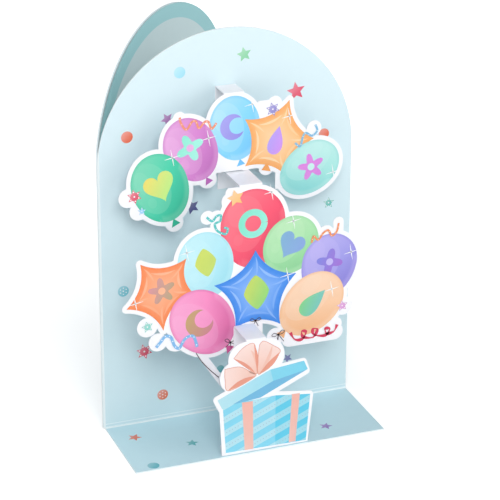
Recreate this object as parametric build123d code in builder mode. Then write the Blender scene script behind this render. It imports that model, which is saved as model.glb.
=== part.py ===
from build123d import *
import math
import os
from typing import NamedTuple

# A greeting card that stands open as a scene. One folded arched card carries three die-cut
# paper layers, each held in front of the back panel by its own folded web and glue tab.
# X runs across the card, -Y is the front, +Z is up and Z = 0 is the table.

# The folded card
card_width = 130.0
card_height = 200.0
card_thickness = 0.8
base_depth = 48.0
cover_angle = 41.5
fold_radius = 0.4

# The die-cut paper layers, measured forward from the printed face of the back panel
paper_thickness = 0.4
paper_fold_radius = 0.3
upper_layer_forward = 12.5
lower_layer_forward = 30.0
gift_layer_forward = 47.5
cut_border = 2.1
star_hollow = 0.14

# Heights of the fold lines above the base card
upper_web_height = 171.4
lower_web_height = 131.6
gift_web_height = 60.0
upper_layer_clearance = 0.7

# Webs and glue tabs
upper_web_centre = -1.1
upper_web_width = 10.0
lower_web_centre = 0.8
lower_web_width = 11.5
gift_web_centre = -2.8
gift_web_width = 10.0
glue_tab_length = 12.5
foot_tab_length = 10.5
foot_tab_taper = 3.0
stem_centre = 0.2
stem_width = 14.0
string_strip_width = 3.8
sheet_lead = 2.5

# Worked-out sizes
arch_radius = card_width / 2
arch_spring = card_height - arch_radius
outer_fold_radius = fold_radius + card_thickness
half_turn = (180.0 - cover_angle) / 2
cover_sine = math.sin(math.radians(cover_angle))
cover_cosine = math.cos(math.radians(cover_angle))
cover_reach = (card_width - outer_fold_radius) * cover_sine + outer_fold_radius * (1 + cover_cosine)
panel_face = (base_depth - cover_reach) / 2
panel_back = panel_face + card_thickness
base_front = panel_face - base_depth
base_top = card_thickness
panel_foot = card_thickness + fold_radius
spine_x = -card_width / 2
spine_centre = (spine_x + outer_fold_radius, panel_face + outer_fold_radius)
upper_layer_foot = lower_web_height + upper_layer_clearance
upper_face = panel_face - upper_layer_forward
lower_face = panel_face - lower_layer_forward
gift_face = panel_face - gift_layer_forward
paper_bend = paper_thickness + paper_fold_radius
paper_mid_radius = paper_fold_radius + paper_thickness / 2


class Balloon(NamedTuple):
    """A printed balloon: its widest point, half width, height above and below it, and lean."""

    x: float
    z: float
    half_width: float
    crown: float
    root: float
    lean: float


class Disc(NamedTuple):
    """A round lobe of the cut outline, where a small print stands clear of the balloons."""

    x: float
    z: float
    radius: float


class Patch(NamedTuple):
    """A rectangle of white paper that joins the prints."""

    left: float
    right: float
    foot: float
    top: float


# Balloons and star of the upper cluster, with z above the base card
blue_balloon = Balloon(-0.7, 154.5, 12.7, 15.3, 17.2, 9)
upper_balloon_list = [
    blue_balloon,
    Balloon(-38.4, 129.5, 13.9, 16.6, 19.2, 21),
    Balloon(-23.1, 146.5, 12.8, 15.7, 18.0, 27),
    Balloon(38.4, 129.2, 12.8, 15.2, 17.0, -60),
]
upper_star_tips = [(4.4, 157.4), (4.5, 133.8), (25.7, 126.0), (39.6, 143.5), (26.9, 164.5)]
upper_lobes = [
    Disc(-28.2, 161.8, 3.2),
    Disc(-53.9, 125.3, 4.7),
    Disc(-48.8, 118.0, 4.5),
    Disc(-31.2, 109.8, 4.5),
    Disc(-14.3, 129.6, 4.5),
    Disc(19.5, 163.6, 3.6),
    Disc(39.8, 148.8, 3.7),
    Disc(15.3, 131.6, 3.7),
]
upper_patches = [
    Patch(-10.0, 10.0, upper_layer_foot, 142.0),
    Patch(11.0, 19.0, 156.0, 165.6),
    Patch(20.0, 27.0, 120.0, 130.0),
]

# Balloons and stars of the lower cluster
red_balloon = Balloon(2.0, 111.5, 16.4, 17.5, 22.5, 0)
lower_balloon_list = [
    red_balloon,
    Balloon(-21.9, 95.0, 13.9, 15.6, 18.5, 10),
    Balloon(-24.1, 65.1, 15.0, 17.6, 19.8, 40),
    Balloon(21.5, 98.1, 13.9, 14.8, 15.6, -33),
    Balloon(41.6, 86.0, 14.4, 14.7, 19.0, -12),
    Balloon(33.3, 66.0, 14.6, 17.2, 19.4, -48),
]
left_star_tips = [(-31.4, 98.6), (-54.2, 98.8), (-61.3, 77.0), (-43.2, 63.2), (-28.8, 81.1)]
middle_star_tips = [(3.3, 97.7), (-17.7, 82.5), (-6.9, 58.8), (16.3, 57.1), (24.3, 82.7)]
lower_lobes = [
    Disc(-8.0, 128.0, 3.9),
    Disc(-9.6, 124.3, 4.2),
    Disc(-20.8, 117.6, 3.4),
    Disc(-16.2, 117.0, 3.6),
    Disc(-15.5, 112.5, 4.0),
    Disc(-51.2, 66.0, 5.0),
    Disc(-46.0, 57.4, 4.6),
    Disc(-36.8, 56.8, 5.6),
    Disc(-8.6, 50.4, 4.2),
    Disc(45.9, 106.0, 2.7),
    Disc(39.5, 101.0, 4.2),
    Disc(49.3, 61.6, 4.9),
    Disc(45.2, 52.5, 3.6),
    Disc(14.0, 50.6, 4.6),
]
streamer_run = ((21.5, 48.4), (45.0, 48.4))
streamer_lobe_width = 8.8
squiggle_run = ((45.9, 106.0), (45.9, 99.0))
squiggle_lobe_width = 5.4
stem_top = 62.0

# Strings of the lower cluster, as strips of paper that run down to the stem
left_string = [(-26.0, 50.0), (-16.0, 34.5), (-5.0, 18.0)]
right_string = [(15.0, 52.0), (11.0, 36.0), (5.0, 18.0)]

# The printed shapes of the gift box, which the cut outline follows
box_print = [(-18.0, 0.5), (22.2, 0.5), (24.8, 25.6), (5.8, 28.4), (-19.5, 27.8)]
lid_print = [(-22.4, 30.9), (-20.0, 25.7), (-0.5, 28.3), (22.7, 38.9), (21.2, 43.7), (4.5, 42.1)]
bow_lobes = [
    Disc(-12.4, 41.5, 8.7),
    Disc(-8.2, 50.5, 8.7),
    Disc(1.6, 49.8, 10.1),
]


def balloon_face(balloon, border):
    """Add a balloon's outline to the sketch, a border wider than its print."""
    centre = (balloon.x, balloon.z)
    width = balloon.half_width + border
    with BuildLine() as outline:
        EllipticalCenterArc(
            centre, width, balloon.crown + border, 0, arc_size=180, rotation=balloon.lean
        )
        EllipticalCenterArc(
            centre, width, balloon.root + border, 180, arc_size=180, rotation=balloon.lean
        )
    make_face(outline.edges())


def star_sketch(tips, hollow, border):
    """A five-pointed foil balloon, with sides that bow inwards by a share of their length."""
    with BuildSketch() as star:
        with BuildLine():
            for tip, following in zip(tips, tips[1:] + tips[:1]):
                SagittaArc(tip, following, hollow * math.dist(tip, following))
        make_face()
        offset(amount=border, kind=Kind.ARC)
    return star.sketch


def polygon_sketch(corners, border):
    """A straight-sided print, with its outline moved outwards by a border."""
    with BuildSketch() as polygon:
        with BuildLine():
            Polyline(*corners, close=True)
        make_face()
        offset(amount=border, kind=Kind.ARC)
    return polygon.sketch


def lobes(discs):
    """Add round lobes to the sketch."""
    for disc in discs:
        with Locations((disc.x, disc.z)):
            Circle(disc.radius)


def strip(points, width):
    """Add a strip of paper along a line of points, with round ends."""
    for start, end in zip(points, points[1:]):
        with BuildLine() as middle:
            Line(start, end)
        trace(middle.edges(), line_width=width)
    for point in points:
        with Locations(point):
            Circle(width / 2)


def block(left, right, foot, top, mode=Mode.ADD):
    """Add or cut an upright rectangle."""
    with Locations(((left + right) / 2, (foot + top) / 2)):
        Rectangle(right - left, top - foot, mode=mode)


def trim(foot, top):
    """Cut the sketch away between two heights, across the whole width of the card."""
    block(-card_width / 2, card_width / 2, foot, top, mode=Mode.SUBTRACT)


def ribbon_section(points):
    """Add the side view of a folded strip of paper, bent at each inner point."""
    with BuildLine() as middle:
        FilletPolyline(*points, radius=paper_mid_radius)
    trace(middle.edges(), line_width=paper_thickness)


def web_points(sheet_face, carrier_face, fold_height, sheet_height):
    """The side view of a web: up from a height on the sheet, back and down as its glue tab."""
    sheet_middle = sheet_face + paper_thickness / 2
    tab_middle = carrier_face - paper_thickness / 2
    web_middle = base_top + fold_height - paper_thickness / 2
    return [
        (sheet_middle, base_top + sheet_height),
        (sheet_middle, web_middle),
        (tab_middle, web_middle),
        (tab_middle, web_middle - glue_tab_length),
    ]


def foot_points(sheet_face):
    """The side view of a foot: down the sheet and back along the base card as a glue tab."""
    sheet_middle = sheet_face + paper_thickness / 2
    tab_middle = base_top + paper_thickness / 2
    return [
        (sheet_middle, base_top + paper_bend + sheet_lead),
        (sheet_middle, tab_middle),
        (sheet_middle + foot_tab_length, tab_middle),
    ]


# The folded card: back panel, cover round the spine fold and base flap round the foot fold

with BuildPart() as folded_card:
    # Plan of one leaf with its half of the spine fold
    with BuildSketch():
        with BuildLine():
            outer_bend = CenterArc(spine_centre, outer_fold_radius, -90, -half_turn)
            inner_bend = CenterArc(spine_centre, fold_radius, -90, -half_turn)
            Line(outer_bend @ 1, inner_bend @ 1)
            Polyline(
                outer_bend @ 0,
                (card_width / 2, panel_face),
                (card_width / 2, panel_back),
                inner_bend @ 0,
            )
        make_face()
    extrude(amount=card_height)
    # Arched outline of the leaf
    with BuildSketch(Plane.XZ):
        block(-card_width / 2, card_width / 2, panel_foot, arch_spring)
        with Locations((0, arch_spring)):
            Circle(arch_radius)
    extrude(amount=card_height, both=True, mode=Mode.INTERSECT)
    # The cover is the same leaf, turned over about the spine
    bisector = Plane(
        origin=(*spine_centre, 0),
        x_dir=(0, 0, 1),
        z_dir=(-math.sin(math.radians(cover_angle / 2)), math.cos(math.radians(cover_angle / 2)), 0),
    )
    mirror(about=bisector)
    # Base flap and the fold at the foot of the back panel
    with BuildSketch(Plane.YZ.offset(spine_centre[0])):
        with BuildLine():
            foot_centre = (panel_face - fold_radius, panel_foot)
            low_bend = CenterArc(foot_centre, outer_fold_radius, -90, 90)
            high_bend = CenterArc(foot_centre, fold_radius, -90, 90)
            Line(low_bend @ 1, high_bend @ 1)
            Polyline(
                low_bend @ 0,
                (base_front, 0),
                (base_front, base_top),
                high_bend @ 0,
            )
        make_face()
    extrude(amount=card_width - outer_fold_radius)

folded_card.part.label = "folded_card"

# The upper cluster of balloons

upper_star = star_sketch(upper_star_tips, star_hollow, cut_border)

with BuildSketch() as upper_outline:
    for balloon in upper_balloon_list:
        balloon_face(balloon, cut_border)
    add(upper_star)
    lobes(upper_lobes)
    for patch in upper_patches:
        block(*patch)
    # The fold line trims the crown of the blue balloon
    trim(upper_web_height - paper_bend, card_height)

with BuildPart() as upper_balloons:
    with BuildSketch(Plane.XZ.offset(-upper_face)):
        with Locations((0, base_top)):
            add(upper_outline.sketch)
    extrude(amount=-paper_thickness)
    with BuildSketch(Plane.YZ.offset(upper_web_centre - upper_web_width / 2)):
        ribbon_section(web_points(upper_face, panel_face, upper_web_height, blue_balloon.z))
    extrude(amount=upper_web_width)

upper_balloons.part.label = "upper_balloons"

# The lower cluster of balloons, with its stem and strings

left_star = star_sketch(left_star_tips, star_hollow, cut_border)
middle_star = star_sketch(middle_star_tips, star_hollow, cut_border)

with BuildSketch() as lower_outline:
    for balloon in lower_balloon_list:
        balloon_face(balloon, cut_border)
    add(left_star)
    add(middle_star)
    lobes(lower_lobes)
    strip(streamer_run, streamer_lobe_width)
    strip(squiggle_run, squiggle_lobe_width)
    strip(left_string, string_strip_width)
    strip(right_string, string_strip_width)
    # The stem stands on the base card behind the gift box
    block(stem_centre - stem_width / 2, stem_centre + stem_width / 2, paper_bend, stem_top)
    trim(lower_web_height - paper_bend, card_height)

with BuildPart() as lower_balloons:
    with BuildSketch(Plane.XZ.offset(-lower_face)):
        with Locations((0, base_top)):
            add(lower_outline.sketch)
    extrude(amount=-paper_thickness)
    with BuildSketch(Plane.YZ.offset(lower_web_centre - lower_web_width / 2)):
        ribbon_section(web_points(lower_face, panel_face, lower_web_height, red_balloon.z))
    extrude(amount=lower_web_width)
    with BuildSketch(Plane.YZ.offset(stem_centre - stem_width / 2)):
        ribbon_section(foot_points(lower_face))
    extrude(amount=stem_width)

lower_balloons.part.label = "lower_balloons"

# The gift box at the front edge of the base

gift_left = box_print[0][0] - cut_border
gift_right = box_print[1][0] + cut_border
lid_height = lid_print[-1][1]
gift_fold = gift_web_height - paper_bend

box_sketch = polygon_sketch(box_print, cut_border)
lid_sketch = polygon_sketch(lid_print, cut_border)

with BuildSketch() as gift_outline:
    add(box_sketch)
    add(lid_sketch)
    lobes(bow_lobes)
    # Flat top of the bow, where the web folds back
    gift_web_left = gift_web_centre - gift_web_width / 2
    block(gift_web_left, gift_web_left + gift_web_width, lid_height, gift_fold)
    trim(gift_fold, card_height)
    trim(-cut_border, paper_bend)

with BuildPart() as gift_box:
    with BuildSketch(Plane.XZ.offset(-gift_face)):
        with Locations((0, base_top)):
            add(gift_outline.sketch)
    extrude(amount=-paper_thickness)
    with BuildSketch(Plane.YZ.offset(gift_web_left)):
        ribbon_section(web_points(gift_face, lower_face, gift_web_height, lid_height))
    extrude(amount=gift_web_width)
    with BuildSketch(Plane.YZ.offset(gift_left)):
        ribbon_section(foot_points(gift_face))
    extrude(amount=gift_right - gift_left)
    # Slanted ends of the foot tab
    tab_end = gift_face + paper_thickness / 2 + foot_tab_length
    tab_root = gift_face + paper_thickness + paper_bend
    with BuildSketch(Plane.XY.offset(base_top)):
        for side_x, inward in ((gift_left, 1), (gift_right, -1)):
            with BuildLine():
                Polyline(
                    (side_x, tab_root),
                    (side_x, tab_end),
                    (side_x + inward * foot_tab_taper, tab_end),
                    close=True,
                )
            make_face()
    extrude(amount=paper_thickness, mode=Mode.SUBTRACT)

gift_box.part.label = "gift_box"

os.makedirs("parts", exist_ok=True)
export_step(folded_card.part, "parts/folded_card.step")
export_step(upper_balloons.part, "parts/upper_balloons.step")
export_step(lower_balloons.part, "parts/lower_balloons.step")
export_step(gift_box.part, "parts/gift_box.step")
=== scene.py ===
"""Looks of a pop up card that stands open, with printed layers of balloons and a gift box."""

import logging
import math
from dataclasses import dataclass
from enum import Enum
from typing import Callable, NamedTuple, Protocol, Sequence

import bpy
from mathutils import Matrix, Vector


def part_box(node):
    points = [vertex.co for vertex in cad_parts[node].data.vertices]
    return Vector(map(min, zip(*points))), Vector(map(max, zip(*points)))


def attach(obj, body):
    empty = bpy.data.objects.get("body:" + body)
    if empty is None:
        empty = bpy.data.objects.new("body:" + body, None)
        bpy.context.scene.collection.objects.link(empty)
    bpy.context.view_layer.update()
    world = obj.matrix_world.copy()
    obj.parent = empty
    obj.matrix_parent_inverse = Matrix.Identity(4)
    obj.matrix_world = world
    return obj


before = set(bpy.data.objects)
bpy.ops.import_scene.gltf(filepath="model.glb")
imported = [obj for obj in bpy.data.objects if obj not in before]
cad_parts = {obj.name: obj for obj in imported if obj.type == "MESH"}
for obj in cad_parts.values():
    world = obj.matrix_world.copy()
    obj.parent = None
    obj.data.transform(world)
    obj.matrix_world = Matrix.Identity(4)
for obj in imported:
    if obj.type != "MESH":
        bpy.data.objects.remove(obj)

LOG = logging.getLogger("pop_up_card")

Point = tuple[float, float]
Colour = tuple[float, float, float]
Shade = Callable[[Point], Colour]
Width = Callable[[float], float]

MM = 0.001
BODY = "root"
ARCH_STEPS = 64
ACROSS, BACK, UP = Vector((1, 0, 0)), Vector((0, 1, 0)), Vector((0, 0, 1))


def srgb(code: str) -> Colour:
    """Turn a colour written as six hexadecimal digits into linear light.

    Args:
        code: The colour, such as "40c8a5".

    Returns:
        Red, green and blue in linear light, from 0 to 1.
    """
    parts = [int(code[i : i + 2], 16) / 255 for i in (0, 2, 4)]
    return tuple(p / 12.92 if p <= 0.04045 else ((p + 0.055) / 1.055) ** 2.4 for p in parts)


def blend_colours(first: Colour, second: Colour, share: float) -> Colour:
    """Mix two colours.

    Args:
        first: The colour at share 0.
        second: The colour at share 1.
        share: How much of the second colour there is.

    Returns:
        The mixed colour.
    """
    share = min(1.0, max(0.0, share))
    return tuple(a + (b - a) * share for a, b in zip(first, second))


def turned(point: Point, angle: float) -> Point:
    """Turn a point about the origin by an angle in degrees, anticlockwise."""
    cosine, sine = math.cos(math.radians(angle)), math.sin(math.radians(angle))
    return point[0] * cosine - point[1] * sine, point[0] * sine + point[1] * cosine


def between(first: Point, second: Point, share: float) -> Point:
    """Return the point that lies a share of the way from one point to another."""
    return first[0] + (second[0] - first[0]) * share, first[1] + (second[1] - first[1]) * share


def plain(colour: Colour) -> Shade:
    """Return a shade that is one colour everywhere."""
    return lambda _: colour


def fading(first: Colour, second: Colour, axis: int, start: float, stop: float) -> Shade:
    """Return a shade that fades from one colour to another along an axis.

    Args:
        first: The colour where the fade starts.
        second: The colour where it stops.
        axis: 0 for a fade across the face, 1 for a fade along it.
        start: Where the fade starts, in millimetres.
        stop: Where it stops.

    Returns:
        The shade.
    """
    return lambda point: blend_colours(first, second, (point[axis] - start) / (stop - start))


def swelling(ends: float, more: float) -> Width:
    """Return the width of a band that is wider by some millimetres in its middle."""
    return lambda share: ends + more * math.sin(math.pi * share)


WHITE = srgb("ffffff")
SPOT = srgb("fff6f4")
STRING = srgb("4a3a44")
BOW_LIGHT, BOW_WARM = srgb("fbded5"), srgb("f4c2b0")
BOW_RIM, BOW_SHADE = srgb("e39b86"), srgb("e99a83")


class Number:
    """A number that varies over a surface. Arithmetic on it adds Math nodes."""

    def __init__(self, tree: "NodeTree", socket: bpy.types.NodeSocket) -> None:
        """Wrap a socket.

        Args:
            tree: The tree that the socket is in.
            socket: The output socket that gives the number.
        """
        self.tree = tree
        self.socket = socket

    def _math(self, operation: str, first: object, second: object) -> "Number":
        """Add a Math node and return its result."""
        made = self.tree.node("ShaderNodeMath", {"operation": operation}, {0: first, 1: second})
        return Number(self.tree, made.outputs[0])

    def __add__(self, other: object) -> "Number":
        """Return self + other."""
        return self._math("ADD", self, other)

    def __radd__(self, other: object) -> "Number":
        """Return other + self."""
        return self._math("ADD", other, self)

    def __sub__(self, other: object) -> "Number":
        """Return self - other."""
        return self._math("SUBTRACT", self, other)

    def __rsub__(self, other: object) -> "Number":
        """Return other - self."""
        return self._math("SUBTRACT", other, self)

    def __mul__(self, other: object) -> "Number":
        """Return self * other."""
        return self._math("MULTIPLY", self, other)

    def __rmul__(self, other: object) -> "Number":
        """Return other * self."""
        return self._math("MULTIPLY", other, self)


class NodeTree:
    """The nodes of a material or of the world."""

    def __init__(self, tree: bpy.types.NodeTree) -> None:
        """Take over a tree and empty it.

        Args:
            tree: The tree.
        """
        self.nodes = tree.nodes
        self.links = tree.links
        self.nodes.clear()

    def node(
        self, kind: str, settings: dict[str, object], values: dict[object, object]
    ) -> bpy.types.Node:
        """Add a node, set it up and feed its sockets.

        Args:
            kind: The node's type.
            settings: The node's own properties, set first.
            values: Plain values, sockets or Numbers, by the socket's name or place.

        Returns:
            The node.
        """
        made = self.nodes.new(kind)
        for key, value in settings.items():
            setattr(made, key, value)
        for key, value in values.items():
            self.feed(made.inputs[key], value)
        return made

    def feed(self, socket: bpy.types.NodeSocket, value: object) -> None:
        """Link a socket to what feeds it, or set its value.

        Args:
            socket: The input socket.
            value: A Number, an output socket or a plain value.
        """
        if isinstance(value, Number):
            value = value.socket
        if isinstance(value, bpy.types.NodeSocket):
            self.links.new(value, socket)
        else:
            socket.default_value = value

    def place(self) -> bpy.types.NodeSocket:
        """Return the surface's own place in the frame, in metres."""
        return self.node("ShaderNodeTexCoord", {}, {}).outputs["Object"]

    def scaled_place(self, *scale: float) -> bpy.types.NodeSocket:
        """Return the surface's own place, multiplied along each axis.

        Args:
            scale: One factor for all axes, or one for each.

        Returns:
            The scaled place's socket.
        """
        factors = scale * 3 if len(scale) == 1 else scale
        made = self.node(
            "ShaderNodeVectorMath", {"operation": "MULTIPLY"}, {0: self.place(), 1: factors}
        )
        return made.outputs[0]

    def noise(self, size: float, detail: float, stretch: Sequence[float] = (1, 1, 1)) -> Number:
        """Return a noise between 0 and 1.

        Args:
            size: The size of its grains, in metres.
            detail: How many finer octaves it has.
            stretch: How much longer the grains are along each axis.

        Returns:
            The noise.
        """
        made = self.node(
            "ShaderNodeTexNoise",
            {"noise_dimensions": "3D"},
            {
                "Vector": self.scaled_place(*(1 / (size * s) for s in stretch)),
                "Scale": 1.0,
                "Detail": detail,
                "Roughness": 0.55,
            },
        )
        return Number(self, made.outputs[0])

    def tint(self, colour: object, share: Number, other: object) -> bpy.types.NodeSocket:
        """Mix a colour with another by a share that varies.

        Args:
            colour: The colour where the share is 0.
            share: The share.
            other: The colour where the share is 1.

        Returns:
            The mixed colour's socket.
        """
        made = self.node(
            "ShaderNodeMix",
            {"data_type": "RGBA", "blend_type": "MIX"},
            {0: share, 6: colour, 7: other},
        )
        return made.outputs[2]


class ShaderTree(NodeTree):
    """The nodes of one material, round a Principled surface."""

    def __init__(self, name: str) -> None:
        """Start a material with a Principled surface.

        Args:
            name: The material's name.
        """
        self.material = bpy.data.materials.new(name)
        self.material.use_nodes = True
        super().__init__(self.material.node_tree)
        self.surface = self.node("ShaderNodeBsdfPrincipled", {}, {})
        self.node("ShaderNodeOutputMaterial", {}, {"Surface": self.surface.outputs[0]})

    def set(self, name: str, value: object) -> None:
        """Feed one socket of the Principled surface."""
        self.feed(self.surface.inputs[name], value)

    def bump(self, height: Number, depth: float) -> None:
        """Raise the surface by a height map.

        Args:
            height: The height, from 0 to 1.
            depth: How far a height of 1 stands out, in metres.
        """
        made = self.node("ShaderNodeBump", {}, {"Height": height, "Distance": depth})
        made.inputs["Strength"].default_value = 1.0
        self.set("Normal", made.outputs[0])


@dataclass(frozen=True)
class PaperFinish:
    """Plain paper or card: fibres, a faint cloudiness and a soft tooth.

    Attributes:
        name: The material's name.
        colour: The colour of the stock.
        clouded: The colour that the clouds and fibres lean to.
        roughness: How matte it is.
        tooth: The depth of its grain, in metres.
        fibre: The width of its fibres, in metres.
        cloud: The size of its clouds, in metres.
        fibre_share: How far the fibres lean to the clouded colour.
        cloud_share: How far the clouds do.
        unevenness: How far the roughness varies.
    """

    name: str
    colour: Colour
    clouded: Colour
    roughness: float
    tooth: float
    fibre: float = 0.35 * MM
    cloud: float = 9 * MM
    fibre_share: float = 0.25
    cloud_share: float = 0.6
    unevenness: float = 0.12

    def material(self) -> bpy.types.Material:
        """Build the finish.

        Returns:
            The material.
        """
        tree = ShaderTree(self.name)
        fibres = tree.noise(self.fibre, 3.0, (1, 1, 2.5))
        clouds = tree.noise(self.cloud, 2.0)
        share = clouds * self.cloud_share + fibres * self.fibre_share
        tree.set("Base Color", tree.tint((*self.colour, 1), share, (*self.clouded, 1)))
        tree.set("Roughness", fibres * self.unevenness + (self.roughness - self.unevenness / 2))
        tree.bump(fibres, self.tooth)
        return tree.material


@dataclass(frozen=True)
class InkFinish:
    """Watercolour print: the colour stored on the mesh, with pigment clouds over paper fibres.

    Attributes:
        name: The material's name.
        mottle: How far the pigment clouds darken the print.
        roughness: How matte it is.
        tooth: The depth of the paper's grain, in metres.
        pigment: The size of the pigment clouds, in metres.
        fibre: The size of the paper's fibres, in metres.
        fibre_share: How far the fibres darken the print, as a share of the mottle.
        shadow: What the darkest pigment multiplies the colour by.
        unevenness: How far the roughness varies.
    """

    name: str
    mottle: float
    roughness: float
    tooth: float
    pigment: float = 5 * MM
    fibre: float = 0.3 * MM
    fibre_share: float = 0.3
    shadow: Colour = (0.86, 0.87, 0.9)
    unevenness: float = 0.14

    def material(self) -> bpy.types.Material:
        """Build the finish.

        Returns:
            The material.
        """
        tree = ShaderTree(self.name)
        stored = tree.node("ShaderNodeAttribute", {"attribute_name": InkSheet.COLOUR}, {})
        pigment = tree.noise(self.pigment, 4.0)
        fibres = tree.noise(self.fibre, 2.0)
        darker = tree.node(
            "ShaderNodeMix",
            {"data_type": "RGBA", "blend_type": "MULTIPLY"},
            {0: 1.0, 6: stored.outputs["Color"], 7: (*self.shadow, 1)},
        )
        share = pigment * self.mottle + fibres * (self.mottle * self.fibre_share)
        tree.set("Base Color", tree.tint(stored.outputs["Color"], share, darker.outputs[2]))
        tree.set("Roughness", fibres * self.unevenness + (self.roughness - self.unevenness / 2))
        tree.bump(fibres, self.tooth)
        return tree.material


@dataclass(frozen=True)
class Plane:
    """A flat face that takes print: a corner, two directions along it and the way it faces.

    Attributes:
        origin: The point that print is measured from, in metres.
        across: The direction of a print's first measure.
        along: The direction of a print's second measure.
    """

    origin: Vector
    across: Vector
    along: Vector

    def at(self, point: Point, lift: float) -> Vector:
        """Return the place of a print point.

        Args:
            point: The point on the face, in millimetres.
            lift: How far it stands in front of the face, in metres.

        Returns:
            The place in the frame, in metres.
        """
        facing = self.across.cross(self.along)
        return self.origin + (self.across * point[0] + self.along * point[1]) * MM + facing * lift


class InkSheet:
    """Print on one flat face, built as one mesh of thin layers of ink.

    COLOUR names the colours stored on the mesh. LAYER is the step between two layers, in metres.
    """

    COLOUR = "Ink"
    LAYER = 0.004 * MM

    def __init__(self, name: str, plane: Plane, slot: str) -> None:
        """Start an empty sheet of print.

        Args:
            name: The piece's name.
            plane: The face that it is printed on.
            slot: The record's material slot; the sheet keeps it but does not use it.
        """
        self.name = name
        self.plane = plane
        self.slot = slot
        self.points: list[Vector] = []
        self.faces: list[tuple[int, ...]] = []
        self.colours: list[Colour] = []
        self.layer = 1

    def next_layer(self, count: int = 1) -> None:
        """Print what follows over what is there, some layers further up."""
        self.layer += count

    def _add(self, point: Point, colour: Colour) -> int:
        """Add one print point.

        Args:
            point: Its place on the face, in millimetres.
            colour: Its colour.

        Returns:
            Its number.
        """
        self.points.append(self.plane.at(point, self.LAYER * self.layer))
        self.colours.append(colour)
        return len(self.points) - 1

    def patch(self, outline: Sequence[Point], centre: Point, shade: Shade, rings: int = 1) -> None:
        """Print a patch whose outline is seen whole from its centre.

        Args:
            outline: The points round its edge.
            centre: The point that it is filled from.
            shade: The colour at each point.
            rings: How many rings of faces fill it.
        """
        middle = self._add(centre, shade(centre))
        count = len(outline)
        inner: list[int] = []
        for ring in range(1, rings + 1):
            points = [between(centre, edge, ring / rings) for edge in outline]
            row = [self._add(point, shade(point)) for point in points]
            for i in range(count):
                j = (i + 1) % count
                if inner:
                    self.faces.append((inner[i], row[i], row[j], inner[j]))
                else:
                    self.faces.append((middle, row[i], row[j]))
            inner = row

    def ribbon(self, path: Sequence[Point], width: Width, shade: Shade) -> None:
        """Print a band along a path.

        Args:
            path: The points of its middle line.
            width: The band's width at each share of its length, in millimetres.
            shade: The colour at each point.
        """
        last: tuple[int, int] | None = None
        for i, point in enumerate(path):
            before, after = path[max(i - 1, 0)], path[min(i + 1, len(path) - 1)]
            step = (after[0] - before[0], after[1] - before[1])
            length = math.hypot(*step) or 1.0
            half = width(i / (len(path) - 1)) / 2
            side = (-step[1] / length * half, step[0] / length * half)
            left = (point[0] + side[0], point[1] + side[1])
            right = (point[0] - side[0], point[1] - side[1])
            pair = (self._add(left, shade(left)), self._add(right, shade(right)))
            if last:
                self.faces.append((last[1], pair[1], pair[0], last[0]))
            last = pair

    def dot(self, centre: Point, radius: float, colour: Colour, sides: int = 20) -> None:
        """Print a round dot."""
        self.patch(circle(centre, radius, sides), centre, plain(colour))

    def build(self, finish: bpy.types.Material) -> bpy.types.Object:
        """Make the mesh, dress it and fix it to the card.

        Args:
            finish: The print's material.

        Returns:
            The finished piece.
        """
        mesh = bpy.data.meshes.new(self.name)
        mesh.from_pydata([tuple(p) for p in self.points], [], self.faces)
        stored = mesh.color_attributes.new(name=self.COLOUR, type="FLOAT_COLOR", domain="POINT")
        for item, colour in zip(stored.data, self.colours):
            item.color = (*colour, 1.0)
        mesh.validate()
        mesh.materials.append(finish)
        piece = bpy.data.objects.new(self.name, mesh)
        bpy.context.scene.collection.objects.link(piece)
        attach(piece, BODY)
        LOG.info("%s: %d faces", self.name, len(mesh.polygons))
        return piece


CARD_STOCK = PaperFinish("card_stock", srgb("eef6f7"), srgb("e2edf0"), 0.62, 0.02 * MM)
WHITE_PAPER = PaperFinish("white_paper", srgb("fbfafc"), srgb("f2f0f5"), 0.6, 0.012 * MM)
CARD_INK = InkFinish("card_ink", 0.25, 0.6, 0.012 * MM)
LAYER_INK = InkFinish("layer_ink", 0.5, 0.55, 0.01 * MM)


def circle(centre: Point, radius: float, sides: int = 24) -> list[Point]:
    """Return points round a circle."""
    return ellipse(centre, radius, radius, 0.0, sides)


def ellipse(
    centre: Point, wide: float, tall: float, lean: float, sides: int = 36, root: float | None = None
) -> list[Point]:
    """Return points round an ellipse or an egg.

    Args:
        centre: Its widest point's middle.
        wide: Half its width.
        tall: Its height above the centre.
        lean: How far it leans, in degrees anticlockwise.
        sides: How many points it has.
        root: Its height below the centre, where that differs.

    Returns:
        The points, anticlockwise.
    """
    low = tall if root is None else root
    points = []
    for i in range(sides):
        angle = 2 * math.pi * i / sides
        rise = math.sin(angle)
        x, z = turned((wide * math.cos(angle), (tall if rise > 0 else low) * rise), lean)
        points.append((centre[0] + x, centre[1] + z))
    return points


def bowed_side(start: Point, end: Point, hollow: float, steps: int) -> list[Point]:
    """Return points along a side that bows to the left of its run.

    Args:
        start: Where it starts.
        end: Where it ends.
        hollow: How far it bows, as a share of its length.
        steps: How many points it has.

    Returns:
        The points, without the end.
    """
    points = []
    for i in range(steps):
        share = i / steps
        bow = 4 * share * (1 - share) * hollow
        x = start[0] + (end[0] - start[0]) * share - (end[1] - start[1]) * bow
        z = start[1] + (end[1] - start[1]) * share + (end[0] - start[0]) * bow
        points.append((x, z))
    return points


def star_points(tips: Sequence[Point], hollow: float, steps: int = 12) -> list[Point]:
    """Return the outline of a foil star, with sides that bow inwards.

    Args:
        tips: The star's tips, anticlockwise.
        hollow: How far a side bows, as a share of its length.
        steps: How many points each side has.

    Returns:
        The points, anticlockwise.
    """
    following = [*tips[1:], tips[0]]
    return [p for a, b in zip(tips, following) for p in bowed_side(a, b, hollow, steps)]


def middle_of(points: Sequence[Point]) -> Point:
    """Return the mean of some points."""
    return sum(p[0] for p in points) / len(points), sum(p[1] for p in points) / len(points)


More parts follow.
